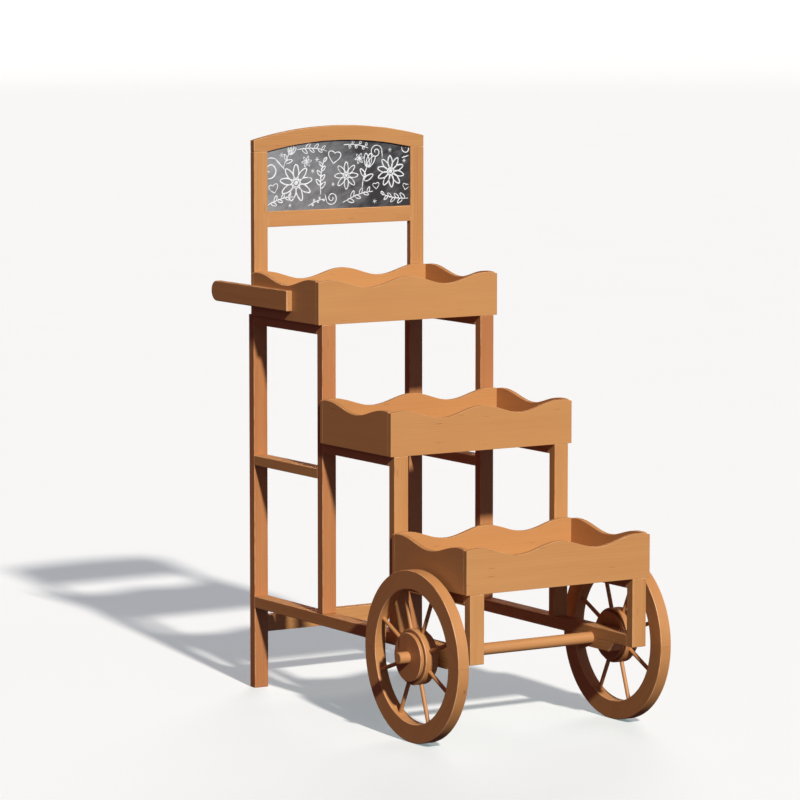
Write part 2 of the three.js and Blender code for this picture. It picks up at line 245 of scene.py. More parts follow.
class Edges(Enum):
    """Which turned or sawn edges of a piece are painted lighter, for wear and as a painted
    highlight.
    """

    BOX = "box"
    PLATE_X = "x"
    PLATE_Y = "y"
    NONE = "none"


class Along(Enum):
    """The way the grain of one of the frame's own pieces runs."""

    X = (0.0, 0.0, 0.0)
    Y = (0.0, 0.0, -QUARTER)
    Z = (0.0, QUARTER, 0.0)


@dataclass(frozen=True)
class Timber:
    """Stained softwood: growth rings, fibres, short dark dashes, small knots and edges lighter from
    wear and a painted highlight.

    The scales are frequencies per metre along the grain, across it and into the log; the shares
    are how much each layer darkens the colour or lifts the surface.
    """

    name: str
    base: Triple = (0.512, 0.252, 0.088)
    late: Triple = (0.395, 0.168, 0.054)
    dark: Triple = (0.150, 0.052, 0.018)
    worn_and_highlight: Triple = (0.80, 0.48, 0.26)
    roughness: float = 0.50
    specular: float = 0.42
    relief: float = 0.00014
    ring_pitch: float = 0.0052
    contrast: float = 1.0
    depth: float = 0.20
    tone: float = 0.06
    nicks: float = 0.90
    knotty: float = 0.88
    worn_and_highlight_share: float = 0.70
    fibre_scale: Triple = (16, 520, 520)
    streak_scale: Triple = (3.2, 62, 62)
    cloud_scale: Triple = (2.2, 7, 7)
    patch_scale: Triple = (1.3, 17, 17)
    wander_scale: Triple = (1.6, 9, 9)
    dash_scale: Triple = (15, 175, 175)
    knot_scale: Triple = (5.0, 21, 21)
    worn_and_lit_scale: float = 30.0
    ring_share: float = 0.26
    streak_share: float = 0.85
    fibre_share: float = 0.50
    cloud_share: float = 0.8
    dash_share: float = 0.45
    knot_share: float = 0.70
    grime_share: float = 0.85

    def material(self, seed: int, along: Along | None, edges: Edges) -> bpy.types.Material:
        """Makes the finish for one piece.

        Args:
            seed: Sets where in the log the piece was cut and its tone.
            along: The grain of a piece read by Object coordinates, or None for one that carries
                its own grain attribute.
            edges: Which edges are painted lighter, for wear and as a painted highlight.

        Returns:
            The material.
        """
        rng = random.Random(seed)
        paint = Paint(f"{self.name}_{seed}")
        offset = tuple(rng.uniform(-2, 2) for _ in range(3))
        if along is None:
            place = paint.stored(GRAIN, "Vector").moved(offset)
        else:
            inputs = {"Vector": paint.coord("Object"), "Rotation": along.value, "Location": offset}
            place = paint.pick("ShaderNodeMapping", {}, inputs)
        pith = (
            offset[1] + rng.choice((-1, 1)) * rng.uniform(0.05, 0.09),
            offset[2] + rng.choice((-1, 1)) * rng.uniform(0.02, 0.06),
        )
        knots = self._knots(paint, place, rng)
        rings = self._rings(paint, place, pith, knots)
        fibre = paint.noise(place, self.fibre_scale, 3.0)
        streak = paint.noise(place, self.streak_scale, 4.0, 0.6)
        cloud = paint.noise(place, self.cloud_scale)
        dashes = self._dashes(paint, place)
        tone = rng.uniform(-self.tone, self.tone)
        patch = paint.noise(place, self.patch_scale).step(0.40, 0.66)
        mask = rings * patch * self.ring_share + (streak - 0.5) * self.streak_share
        mask = mask + (fibre - 0.5) * self.fibre_share + (cloud - 0.5) * self.cloud_share
        mask = (mask * self.contrast + (self.depth + tone)).max(0.0)
        colour = paint.mix(mask, self.base, self.late)
        colour = paint.mix(dashes * self.dash_share, colour, self.dark)
        colour = paint.mix(knots.step(0.30, 0.85) * self.knot_share, colour, self.dark)
        # Eased edges are painted lighter: partly wear, partly a painted highlight on the arrises.
        if edges is not Edges.NONE:
            worn_and_lit = self._worn_and_lit_edges(paint, place, edges) * self.worn_and_highlight_share
            colour = paint.mix(worn_and_lit, colour, self.worn_and_highlight)
        # Painted shade: a dark band on the hub core's face beside each cap disc, where the stored
        # seam mask is 1; pieces without that mask read 0 here.
        if along is None:
            colour = paint.mix(paint.stored(SEAM_SHADE, "Fac") * self.grime_share, colour, self.dark)
        rough = (fibre - 0.5) * 0.16 + (streak - 0.5) * 0.14 + self.roughness
        height = fibre * 0.45 + streak * 0.25 - rings * 0.20 - dashes * 0.8
        shader = {"Base Color": colour, "Roughness": rough, "Specular IOR Level": self.specular}
        return paint.finish(shader, height, self.relief)

    def _rings(self, paint: Paint, place: Value, pith: Point, knots: Value) -> Value:
        """Late wood of the growth rings round the pith, bent a little round each knot."""
        _, across, deep = place.parts()
        wander = (paint.noise(place, self.wander_scale) - 0.5) * 0.030
        y = across - pith[0] + wander
        z = deep - pith[1]
        radius = (y * y + z * z) ** 0.5 + knots * 0.006
        phase = (radius / self.ring_pitch) % 1.0
        return phase.step(0.25, 0.86) * (1.0 - phase.step(0.90, 1.0))

    def _dashes(self, paint: Paint, place: Value) -> Value:
        """Short thin dark marks along the grain, in the few cells that pass the nicks limit."""
        far, chance = paint.cells(place.scaled(self.dash_scale))
        return (1.0 - far.step(0.08, 0.22)) * chance[0].step(self.nicks - 0.02, self.nicks + 0.03)

    def _knots(self, paint: Paint, place: Value, rng: random.Random) -> Value:
        """Rare small knots, 1 at the heart and 0 outside."""
        shift = (rng.random(), rng.random(), rng.random())
        far, chance = paint.cells(place.scaled(self.knot_scale).moved(shift))
        return (1.0 - far.step(0.02, 0.17)) * chance[1].step(self.knotty - 0.02, self.knotty + 0.02)

    def _worn_and_lit_edges(self, paint: Paint, place: Value, edges: Edges) -> Value:
        """1 on the eased edges, broken up by noise; it paints wear and a highlight there."""
        parts = [abs(part) for part in paint.coord("Normal").parts()]
        if edges is Edges.BOX:
            edge = 1.0 - parts[0].max(parts[1]).max(parts[2]).step(0.90, 0.985)
        else:
            flat = parts[0] if edges is Edges.PLATE_X else parts[1]
            edge = flat.step(0.10, 0.35) * (1.0 - flat.step(0.90, 0.985))
        return edge * paint.noise(place, self.worn_and_lit_scale, 3.0).step(0.30, 0.62)


@dataclass(frozen=True)
class Slate:
    """Chalkboard paint with a low sheen and, on its face, wiped dust plus a painted sheen that lies
    thicker leftward.
    """

    name: str = "chalkboard_paint"
    base: Triple = (0.030, 0.029, 0.031)
    dust_and_sheen: Triple = (0.275, 0.29, 0.31)
    roughness: float = 0.46
    relief: float = 0.0002
    slant: float = 24.0
    back_share: float = 0.2

    def material(self) -> bpy.types.Material:
        """Makes the paint."""
        paint = Paint(self.name)
        place = paint.coord("Object")
        slant = {"Vector": place, "Rotation": (0, math.radians(self.slant), 0)}
        slanted = paint.pick("ShaderNodeMapping", {}, slant)
        wipe = paint.noise(slanted, (7, 7, 30), 5.0, 0.62)
        cloud = paint.noise(place, 15, 6.0, 0.62)
        smear = paint.noise(slanted, (28, 28, 75), 5.0, 0.70)
        grit = paint.noise(place, 900)
        # Painted sheen: the face grows lighter leftward, standing in for a reflection, on top of
        # the wiped dust.
        left = 1.0 - place.parts()[0].step(-0.25, 0.16)
        dust_and_sheen = left * 0.74 + (cloud - 0.5) * 0.9 + (wipe - 0.5) * 0.5 + (smear - 0.5) * 0.7 + 0.05
        face = 1.0 - paint.coord("Normal").parts()[1].step(-0.2, 0.2)
        seen = face * (1.0 - self.back_share) + self.back_share
        dust_and_sheen = (dust_and_sheen * (grit * 0.6 + 0.70) * seen).max(0.0)
        colour = paint.mix(dust_and_sheen, self.base, self.dust_and_sheen)
        shader = {"Base Color": colour, "Roughness": dust_and_sheen * 0.35 + self.roughness}
        return paint.finish(shader, grit * 0.6 + wipe * 0.4, self.relief)


@dataclass(frozen=True)
class Chalk:
    """Dry chalk, broken where the board's tooth shows through."""

    name: str = "chalk"
    base: Triple = (0.83, 0.89, 0.93)
    thin: Triple = (0.64, 0.68, 0.71)
    relief: float = 0.0004

    def material(self) -> bpy.types.Material:
        """Makes the chalk."""
        paint = Paint(self.name)
        place = paint.coord("Object")
        tooth = paint.noise(place, 620, 3.0, 0.7)
        drag = paint.noise(place, 110)
        cover = (tooth * 0.55 + drag * 0.45).step(0.36, 0.47)
        colour = paint.mix(drag, self.base, self.thin)
        shader = {"Base Color": colour, "Roughness": 0.95, "Alpha": cover}
        return paint.finish(shader, tooth, self.relief)


@dataclass(frozen=True)
class Steel:
    """Dull zinc plate of a small screw."""

    name: str = "screw_steel"
    dull: Triple = (0.30, 0.29, 0.27)
    bright: Triple = (0.50, 0.48, 0.44)
    relief: float = 0.0001

    def material(self) -> bpy.types.Material:
        """Makes the plate."""
        paint = Paint(self.name)
        cloud = paint.noise(paint.coord("Object"), 400)
        colour = paint.mix(cloud, self.dull, self.bright)
        shader = {"Base Color": colour, "Metallic": 0.9, "Roughness": cloud * 0.2 + 0.35}
        return paint.finish(shader, cloud, self.relief)


FRAME_TIMBER = Timber("frame_timber", contrast=1.2, nicks=0.86, knotty=0.80)
REAR_TIMBER = Timber(
    "rear_timber",
    base=(0.462, 0.196, 0.070),
    late=(0.350, 0.128, 0.043),
    contrast=1.25,
    nicks=0.84,
    knotty=0.68,
)
TRAY_TIMBER = Timber("tray_timber", contrast=0.65, worn_and_highlight_share=0.40)
WHEEL_TIMBER = Timber(
    "wheel_timber", base=(0.500, 0.238, 0.085), late=(0.38, 0.158, 0.050), contrast=0.7, worn_and_highlight_share=0.85
)
CAP_TIMBER = Timber(
    "cap_timber", base=(0.485, 0.215, 0.077), late=(0.370, 0.142, 0.045), contrast=0.7, worn_and_highlight_share=0.85
)
DOWEL_TIMBER = Timber(
    "dowel_timber", base=(0.515, 0.245, 0.090), late=(0.41, 0.180, 0.060), contrast=0.7
)


# ---- meshes


def linked(name: str, mesh: bpy.types.Mesh) -> Piece:
    """A new object at the origin that shows the mesh."""
    piece = bpy.data.objects.new(name, mesh)
    bpy.context.scene.collection.objects.link(piece)
    return piece


def meshed(name: str, shape: bmesh.types.BMesh, place: Matrix) -> Piece:
    """Makes a piece of a shape, moved to its place in its mesh, with its normals outward."""
    shape.transform(place)
    bmesh.ops.recalc_face_normals(shape, faces=shape.faces)
    mesh = bpy.data.meshes.new(name)
    shape.to_mesh(mesh)
    shape.free()
    return linked(name, mesh)


def settled(piece: Piece) -> Piece:
    """Applies every modifier of a piece, so that it is a plain mesh."""
    bpy.context.view_layer.update()
    graph = bpy.context.evaluated_depsgraph_get()
    mesh = bpy.data.meshes.new_from_object(piece.evaluated_get(graph))
    piece.modifiers.clear()
    piece.data = mesh
    mesh.name = piece.name
    return piece


def shaded(mesh: bpy.types.Mesh, degrees: float = 14.0) -> None:
    """Smooth shading on curved faces, sharp where faces meet at more than an angle."""
    mesh.polygons.foreach_set("use_smooth", [True] * len(mesh.polygons))
    mesh.set_sharp_from_angle(angle=math.radians(degrees))


def grained(piece: Piece, where: Grain) -> None:
    """Stores the grain attribute: each vertex's place in the log, along the grain first."""
    mesh = piece.data
    values = [number for vertex in mesh.vertices for number in where(vertex.co)]
    mesh.attributes.new(GRAIN, "FLOAT_VECTOR", "POINT").data.foreach_set("vector", values)


def paint_seam_shade(piece: Piece, where: Callable[[Vector], bool]) -> None:
    """Stores the mask of painted shade, 1 at the vertices that the test picks."""
    mesh = piece.data
    values = [float(where(vertex.co)) for vertex in mesh.vertices]
    mesh.attributes.new(SEAM_SHADE, "FLOAT", "POINT").data.foreach_set("value", values)


def turned(
    name: str, profile: Sequence[Point], steps: int, place: Matrix, sweep: float = TURN
) -> Piece:
    """A profile turned about the X axis.

    Args:
        name: The piece's name.
        profile: A closed loop of (x, radius).
        steps: The faces round the sweep.
        place: Takes the piece to the frame.
        sweep: How far the profile is turned; less than a full turn gets flat ends.

    Returns:
        The piece with its place in its mesh.
    """
    shape = bmesh.new()
    full = sweep == TURN
    rings = []
    for i in range(steps if full else steps + 1):
        angle = sweep * i / steps
        spots = [(x, r * math.cos(angle), r * math.sin(angle)) for x, r in profile]
        rings.append([shape.verts.new(spot) for spot in spots])
    for first, second in zip(rings, rings[1:] + rings[:1] if full else rings[1:]):
        for k, _ in enumerate(profile):
            n = (k + 1) % len(profile)
            shape.faces.new((first[k], first[n], second[n], second[k]))
    if not full:
        shape.faces.new(rings[0])
        shape.faces.new(rings[-1])
    bmesh.ops.remove_doubles(shape, verts=shape.verts, dist=1e-6)
    piece = meshed(name, shape, place)
    shaded(piece.data)
    return piece


def rounded(low: Point, high: Point, radius: float) -> list[Point]:
    """A rectangle's loop with rounded corners, from its low and high corners."""
    steps = 3
    loop = []
    for turn, (right, top) in enumerate(((1, 1), (0, 1), (0, 0), (1, 0))):
        cu = high[0] - radius if right else low[0] + radius
        cv = high[1] - radius if top else low[1] + radius
        for k in range(steps + 1):
            angle = (turn + k / steps) * QUARTER
            loop.append((cu + radius * math.cos(angle), cv + radius * math.sin(angle)))
    return loop


def dress(piece: Piece, material: bpy.types.Material) -> None:
    """Puts one material on a piece, in place of any that it has."""
    piece.data.materials.clear()
    piece.data.materials.append(material)


def mount(piece: Piece, body: str, slot: str, *nodes: str) -> None:
    """Sets a piece on a body, in place of the nodes it stands for."""
    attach(piece, body)
    if nodes:
        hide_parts(*nodes)
    LOG.info("%s rides on %s", piece.name, body)


def board(
    node: str, suffix: str, outline: Sequence[Point], origin: Triple, arris: float, coat: Coat
) -> None:
    """Makes a board that stands on edge in place of a node of the frame, and finishes it.

    Args:
        node: The frame's node; the thinner way of its box gives the board's thickness and plane.
        suffix: What the piece's name adds to the node's.
        outline: The corners, counter-clockwise, along the board and up from the origin.
        origin: Where the outline's origin lies, in the middle of the thickness.
        arris: How far the sharp edges are rounded.
        coat: The board's timber and its seed.
    """
    low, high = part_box(node)
    size = high - low
    side = size.x < size.y
    half = min(size.x, size.y) / 2
    turn = Matrix.Rotation(QUARTER, 4, "X")
    if side:
        turn = Matrix.Rotation(QUARTER, 4, "Z") @ turn
    shape = bmesh.new()
    back, front = ([shape.verts.new((u, v, w)) for u, v in outline] for w in (-half, half))
    shape.faces.new(list(reversed(back)))
    shape.faces.new(front)
    for i, _ in enumerate(outline):
        j = (i + 1) % len(outline)
        shape.faces.new((back[i], back[j], front[j], front[i]))
    piece = meshed(f"{node}_{suffix}", shape, Matrix.Translation(origin) @ turn)
    bevel = piece.modifiers.new("arris", "BEVEL")
    bevel.width = arris
    bevel.segments = 2
    bevel.limit_method = "ANGLE"
    bevel.angle_limit = math.radians(40.0)
    shaded(settled(piece).data)
    grained(piece, lambda co: co.yzx if side else co.xzy)
    timber, seed = coat
    dress(piece, timber.material(seed, None, Edges.PLATE_X if side else Edges.PLATE_Y))
    mount(piece, "cart", "timber", node)


# ---- geometry nodes


class Tree(Graph):
    """A geometry node tree with named inputs."""

    def __init__(self, name: str, inputs: dict[str, str]) -> None:
        """Starts a tree that takes geometry, a material and the given inputs, by socket type."""
        super().__init__(bpy.data.node_groups.new(name, "GeometryNodeTree"))
        face = self.tree.interface
        face.new_socket("Geometry", in_out="INPUT", socket_type="NodeSocketGeometry")
        self.names = {}
        for label, kind in {**inputs, "Material": "Material"}.items():
            socket = face.new_socket(label, in_out="INPUT", socket_type=f"NodeSocket{kind}")
            self.names[label] = socket.identifier
        face.new_socket("Geometry", in_out="OUTPUT", socket_type="NodeSocketGeometry")
        self.source = self.node("NodeGroupInput")

    def given(self, name: str) -> Value:
        """One of the tree's inputs."""
        return Value(self, self.source.outputs[name])

    def point(self, **parts: Value | float) -> Value:
        """A vector of the given X, Y and Z."""
        return self.pick("ShaderNodeCombineXYZ", {}, parts)

    def named(self, name: str, kind: str = "FLOAT_VECTOR") -> Value:
        """A stored attribute."""
        return self.pick("GeometryNodeInputNamedAttribute", {"data_type": kind}, {"Name": name})

    def store(self, geometry: Value, name: str, value: Value) -> Value:
        """The geometry with a vector stored at its points."""
        settings = {"data_type": "FLOAT_VECTOR", "domain": "POINT"}
        inputs = {"Geometry": geometry, "Name": name, "Value": value}
        return self.pick("GeometryNodeStoreNamedAttribute", settings, inputs)

    def swept(self, path: Value, sides: int, radius: Value | float, scale: Value) -> Value:
        """A closed bar along a path, of a section with some sides, a radius and a scale."""
        ring = {"Resolution": sides, "Radius": radius}
        section = self.pick("GeometryNodeCurvePrimitiveCircle", {}, ring)
        inputs = {"Curve": path, "Profile Curve": section, "Scale": scale, "Fill Caps": True}
        return self.pick("GeometryNodeCurveToMesh", {}, inputs)

    def copies(self, points: Value, instance: Value, rotation: Value) -> Value:
        """The instance on each point."""
        inputs = {"Points": points, "Instance": instance, "Rotation": rotation}
        return self.pick("GeometryNodeInstanceOnPoints", {}, inputs)

    def close(self, geometry: Value) -> Tree:
        """Ends the tree in Realize Instances and Set Material."""
        real = self.pick("GeometryNodeRealizeInstances", {}, {"Geometry": geometry})
        inputs = {"Geometry": real, "Material": self.given("Material")}
        self.node("NodeGroupOutput", {}, {0: self.pick("GeometryNodeSetMaterial", {}, inputs)})
        return self

    def apply(self, piece: Piece, values: dict[str, object]) -> Piece:
        """Runs the tree on a piece with the given inputs and makes the result plain."""
        modifier = piece.modifiers.new(self.tree.name, "NODES")
        modifier.node_group = self.tree
        for label, value in values.items():
            modifier[self.names[label]] = value
        return settled(piece)


def spoke_tree() -> Tree:
    """Round spokes set at even angles about the X axis, tapered a little towards the rim."""
    sizes = {name: "Float" for name in ("Lead", "From", "To", "Radius")}
    t = Tree("spokes", {"Count": "Int", **sizes})
    ends = {"Start": t.point(Y=t.given("From")), "End": t.point(Y=t.given("To"))}
    line = t.pick("GeometryNodeCurvePrimitiveLine", {}, ends)
    fine = t.pick("GeometryNodeResampleCurve", {}, {"Curve": line, "Count": 10})
    along = t.pick("GeometryNodeSplineParameter", {}, {}, "Factor")
    taper = t.pick("ShaderNodeMapRange", {}, {"Value": along, "To Min": 1.0, "To Max": 0.94})
    bar = t.swept(fine, 20, t.given("Radius"), taper)
    smooth = t.pick("GeometryNodeSetShadeSmooth", {}, {"Geometry": bar})
    x, y, z = t.pick("GeometryNodeInputPosition").parts()
    spoke = t.store(smooth, GRAIN, t.point(X=y, Y=x, Z=z))
    points = t.pick("GeometryNodePoints", {}, {"Count": t.given("Count")})
    half = t.pick("GeometryNodeInputIndex") + 0.5
    pitch = t.math("DIVIDE", TURN, t.given("Count"))
    turn = t.math("MULTIPLY_ADD", half, pitch, t.given("Lead"))
    real = t.pick(
        "GeometryNodeRealizeInstances", {}, {"Geometry": t.copies(points, spoke, t.point(X=turn))}
    )
    island = t.pick("GeometryNodeInputMeshIsland", {}, {}, "Island Index")
    jump = {0: (0.61, 0.083, 0.117), "Scale": island}
    other_cut = t.pick("ShaderNodeVectorMath", {"operation": "SCALE"}, jump)
    return t.close(t.store(real, GRAIN, t.named(GRAIN).moved(other_cut)))


def stroke_tree() -> Tree:
    """Chalk strokes that follow the given edges, flat on the board, with uneven pressure."""
    t = Tree("chalk_strokes", {"Plane": "Float", "Relief": "Float", "Seed": "Int"})
    path = t.pick("GeometryNodeMeshToCurve", {}, {"Mesh": t.given("Geometry")})
    grain = {"W": t.given("Seed"), "Scale": 90.0, "Detail": 1.0}
    press = t.pick("ShaderNodeTexNoise", {"noise_dimensions": "4D"}, grain)
    swell = {"Value": press, "From Min": 0.3, "From Max": 0.7, "To Min": 0.72, "To Max": 1.18}
    width = t.named("width", "FLOAT") * t.pick("ShaderNodeMapRange", {}, swell)
    band = t.swept(path, 6, 0.5, width)
    x, y, z = t.pick("GeometryNodeInputPosition").parts()
    plane = t.given("Plane")
    low = t.math("MULTIPLY_ADD", y - plane, t.given("Relief"), plane)
    flat = {"Geometry": band, "Position": t.point(X=x, Y=low, Z=z)}
    return t.close(t.pick("GeometryNodeSetPosition", {}, flat))


def screw_tree() -> Tree:
    """Flat screw heads with a cross recess at the given points, each along its point's normal."""
    t = Tree("screw_heads", {"Radius": "Float", "Height": "Float", "Seed": "Int"})
    radius, height = t.given("Radius"), t.given("Height")
    disc = {"Vertices": 20, "Radius": radius, "Depth": height}
    head = t.pick("GeometryNodeMeshCylinder", {}, disc)
    size = t.point(X=radius * 1.25, Y=radius * 0.26, Z=height)
    bar = t.pick("GeometryNodeMeshCube", {}, {"Size": size})
    crossed = {"Geometry": bar, "Rotation": (0.0, 0.0, QUARTER)}
    both = {1: [bar, t.pick("GeometryNodeTransform", {}, crossed)]}
    tool = t.pick("GeometryNodeMeshBoolean", {"operation": "UNION", "solver": "EXACT"}, both)
    lift = {"Geometry": tool, "Translation": t.point(Z=height * 0.5)}
    cut = {0: head, 1: t.pick("GeometryNodeTransform", {}, lift)}
    screw = t.pick("GeometryNodeMeshBoolean", {"operation": "DIFFERENCE", "solver": "EXACT"}, cut)
    facing = {"Vector": t.named("facing")}
    aim = t.pick("FunctionNodeAlignRotationToVector", {"axis": "Z"}, facing)
    chance = {"Min": 0.0, "Max": 3.0, "Seed": t.given("Seed")}
    spin = t.pick("FunctionNodeRandomValue", {"data_type": "FLOAT"}, chance, 1)
    spun = {0: aim, 1: t.point(Z=spin)}
    turn = t.pick("FunctionNodeRotateRotation", {"rotation_space": "LOCAL"}, spun)
    points = t.pick("GeometryNodeMeshToPoints", {}, {"Mesh": t.given("Geometry")})
    return t.close(t.copies(points, screw, turn))


# ---- sub-assemblies


@dataclass
class SideFrames:
    """Posts, rails, bearers, stretchers, bearing blocks and the rear cross rail."""

    rows: Sequence[str] = ("front", "second", "third", "rear")
    rails: Sequence[str] = ("bottom_rail", "stretcher", "bearing_block")
    seed: int = 101

    def dress(self, nodes: Nodes) -> None:
        """Gives each sawn stick a cut of timber of its own.

        Args:
            nodes: The frame's nodes by name.
        """
        sticks = []
        for label in SIDES:
            sticks += [(f"{row}_post_{label}", Along.Z) for row in self.rows]
            lying = [f"{level}_bearer" for level in LEVELS] + [*self.rails]
            sticks += [(f"{name}_{label}", Along.Y) for name in lying]
        sticks.append(("rear_cross_rail", Along.X))
        for seed, (name, along) in enumerate(sticks, self.seed):
            timber = REAR_TIMBER if name.startswith(("third", "rear_post")) else FRAME_TIMBER
            dress(nodes[name], timber.material(seed, along, Edges.BOX))
        LOG.info("side frames dressed")


@dataclass
class Trays:
    """Three trays of boards with scalloped tops round plain floors."""

    corner: float = 0.102
    crest_rise: float = 0.0035
    hollow: float = 0.022
    shoulder: float = 0.034
    arris: float = 0.0008
    steps: int = 48
    seed: int = 200

    def height(self, distance: float, length: float, scallops: int) -> float:
        """Height of the scalloped edge at a distance from a board's end.

        Args:
            distance: How far from the end.
            length: The length the scallops were set out on.
            scallops: How many hollows there are.

        Returns:
            The height above the board's foot.
        """
        crest = self.corner + self.crest_rise
        from_end = min(distance, length - distance)
        if from_end < self.shoulder:
            return crest - self.crest_rise * (1 - from_end / self.shoulder) ** 2
        phase = (distance - self.shoulder) / (length - 2 * self.shoulder)
        return crest - self.hollow * (1 - math.cos(TURN * scallops * phase)) / 2

    def outline(self, length: float, scallops: int, margin: float) -> list[Point]:
        """A board's outline about the middle of its foot.

        Args:
            length: The board's length.
            scallops: How many hollows it has.
            margin: How much shorter it is at each end than the length it was set out on.

        Returns:
            The corners, counter-clockwise.
        """
        full = length + 2 * margin
        count = self.steps * scallops + 8
        along = [margin + length * i / count for i in range(count + 1)]
        crest = [(d - full / 2, self.height(d, full, scallops)) for d in along]
        return [(-length / 2, 0.0), (length / 2, 0.0), *reversed(crest)]

    def build(self) -> None:
        """Makes and finishes the twelve boards."""
        parts = {"front": 2, "back": 2, "side_left": 1, "side_right": 1}
        seed = self.seed
        for level in LEVELS:
            tray = f"{level}_tray"
            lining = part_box(f"{tray}_side_left")[0].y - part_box(f"{tray}_front")[0].y
            for part, scallops in parts.items():
                low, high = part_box(f"{tray}_{part}")
                size, middle = high - low, (low + high) / 2
                margin = lining if part.startswith("side") else 0.0
                outline = self.outline(max(size.x, size.y), scallops, margin)
                origin = (middle.x, middle.y, low.z)
                coat = (TRAY_TIMBER, seed)
                board(f"{tray}_{part}", "board", outline, origin, self.arris, coat)
                seed += 1

    def dress(self, nodes: Nodes) -> None:
        """Finishes the floors.

        Args:
            nodes: The frame's nodes by name.
        """
        for seed, level in enumerate(LEVELS, self.seed + 40):
            floor = nodes[f"{level}_tray_floor"]
            dress(floor, FRAME_TIMBER.material(seed, Along.X, Edges.NONE))


@dataclass
class Handles:
    """Push handles with rounded grips."""

    arris: float = 0.002
    steps: int = 20

    def build(self) -> None:
        """Makes and finishes both handles."""
        for seed, label in enumerate(SIDES, 260):
            low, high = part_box(f"handle_{label}")
            size = high - low
            half = size.z / 2
            turns = [-QUARTER + math.pi * i / self.steps for i in range(self.steps + 1)]
            grip = [(size.y - half + half * math.cos(a), half * math.sin(a)) for a in turns]
            outline = [(0.0, -half), *grip, (0.0, half)]
            origin = ((low.x + high.x) / 2, low.y, low.z + half)
            coat = (FRAME_TIMBER, seed)
            board(f"handle_{label}", "board", outline, origin, self.arris, coat)


@dataclass
class Header:
    """Uprights, bar, arched rail and the chalkboard."""

    width: float = 0.412
    rise: float = 0.0225
    rail: float = 0.036
    arris: float = 0.0013
    steps: int = 56
    seed: int = 280

    def radius(self) -> float:
        """Radius of the rail's underside."""
        return ((self.width / 2) ** 2 + self.rise**2) / (2 * self.rise)

    def arc(self, radius: float, centre: float, reach: float) -> list[Point]:
        """Points of an arc over the board, from left to right."""
        spread = math.asin(reach / radius)
        turns = [-spread + 2 * spread * i / self.steps for i in range(self.steps + 1)]
        return [(radius * math.sin(a), centre + radius * math.cos(a)) for a in turns]

    def build(self) -> None:
        """Makes and finishes the arched rail."""
        low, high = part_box("header_arch")
        radius = self.radius()
        centre = low.z + self.rise - radius
        inner = self.arc(radius, centre, self.width / 2)
        outer = self.arc(radius + self.rail, centre, high.x)
        outline = [*inner, (high.x, low.z), *reversed(outer), (-high.x, low.z)]
        origin = (0, (low.y + high.y) / 2, 0)
        board("header_arch", "rail", outline, origin, self.arris, (FRAME_TIMBER, self.seed))

    def dress(self, nodes: Nodes) -> None:
        """Finishes the uprights, the bar and the board.

        Args:
            nodes: The frame's nodes by name.
        """
        ways = {"upright_left": Along.Z, "upright_right": Along.Z, "bar": Along.X}
        for seed, (part, along) in enumerate(ways.items(), self.seed + 1):
            dress(nodes[f"header_{part}"], FRAME_TIMBER.material(seed, along, Edges.BOX))
        dress(nodes["chalkboard"], Slate().material())


class Motif(Enum):
    """What a mark in the chalk drawing shows."""

    DAISY = "daisy"
    SPRIG = "sprig"
    CURL = "curl"
    BUD = "bud"
    BERRIES = "berries"
    STAR = "star"
    HEART = "heart"


@dataclass(frozen=True)
class Mark:
    """One motif: its kind, place, size, turn in degrees, stroke's width and count of parts."""

    motif: Motif
    u: float
    v: float
    size: float
    turn: float
    width: float
    count: int = 0


# Each mark's kind and sizes, with its lengths in millimetres.
MARKS = (
    ("daisy", -122, 66, 45, 10, 4, 9),
    ("curl", -196, 100, 62, 60, 4),
    ("sprig", -205, 14, 78, 10, 3, 6),
    ("heart", -186, 56, 13, 14, 2.6),
    ("bud", -158, 104, 42, 62, 2.8),
    ("sprig", -118, 148, 84, -8, 2.6, 6),
    ("berries", -88, 9, 50, 14, 2.6, 5),
    ("sprig", -52, 36, 92, 78, 3.4, 7),
    ("curl", -20, 26, 34, 210, 3.1),
    ("heart", -12, 128, 18, -10, 3.3),
    ("daisy", 22, 80, 33, 0, 3.2, 8),
    ("berries", 14, 156, 72, -12, 2.5, 6),
    ("sprig", 12, 14, 90, 12, 2.9, 6),
    ("bud", 68, 46, 62, 74, 3.5),
    ("curl", 108, 136, 36, 20, 3),
    ("daisy", 151, 86, 38, 22, 3.8, 10),
    ("heart", 108, 53, 9, 8, 2.3),
    ("sprig", 206, 18, 86, 166, 3, 7),
    ("curl", 196, 142, 40, 300, 3.3),
    ("heart", 195, 48, 9, -14, 2.3),
    ("daisy", 60, 121, 13, 8, 2.1, 6),
    ("daisy", -92, 118, 14, 8, 2.1, 6),
    ("star", -62, 122, 6, 0, 2),
    ("star", -163, 136, 7, 10, 2),
    ("star", -74, 94, 6, 30, 1.9),
    ("star", -16, 60, 5, 0, 1.9),
    ("star", 104, 14, 6, 20, 1.9),
    ("star", 148, 140, 6, 10, 1.9),
    ("star", 190, 112, 5, 0, 1.8),
    ("star", -140, 12, 5, 0, 1.8),
)


def ring(size: float, count: int, turns: float = 1.0, shrink: float = 0.0) -> list[Point]:
    """Points round a circle about the origin, drawn in as it goes where shrink is above 0."""
    spins = [(TURN * turns * k / count, size * (1 - shrink * k / count)) for k in range(count + 1)]
    return [(reach * math.cos(a), reach * math.sin(a)) for a, reach in spins]


def leaf(u: float, v: float, lean: float, length: float, fat: float) -> list[Point]:
    """A leaf or petal from (u, v) as a closed loop, its width a share, fat, of its length."""
    steps = 18
    c, s = math.cos(lean), math.sin(lean)
    points = []
    for k in range(steps + 1):
        turn = TURN * k / steps
        reach = length * (1 - math.cos(turn)) / 2
        side = fat * length / 2 * math.sin(turn) * (1.1 - 0.4 * reach / length)
        points.append((u + reach * c - side * s, v + reach * s + side * c))
    return points


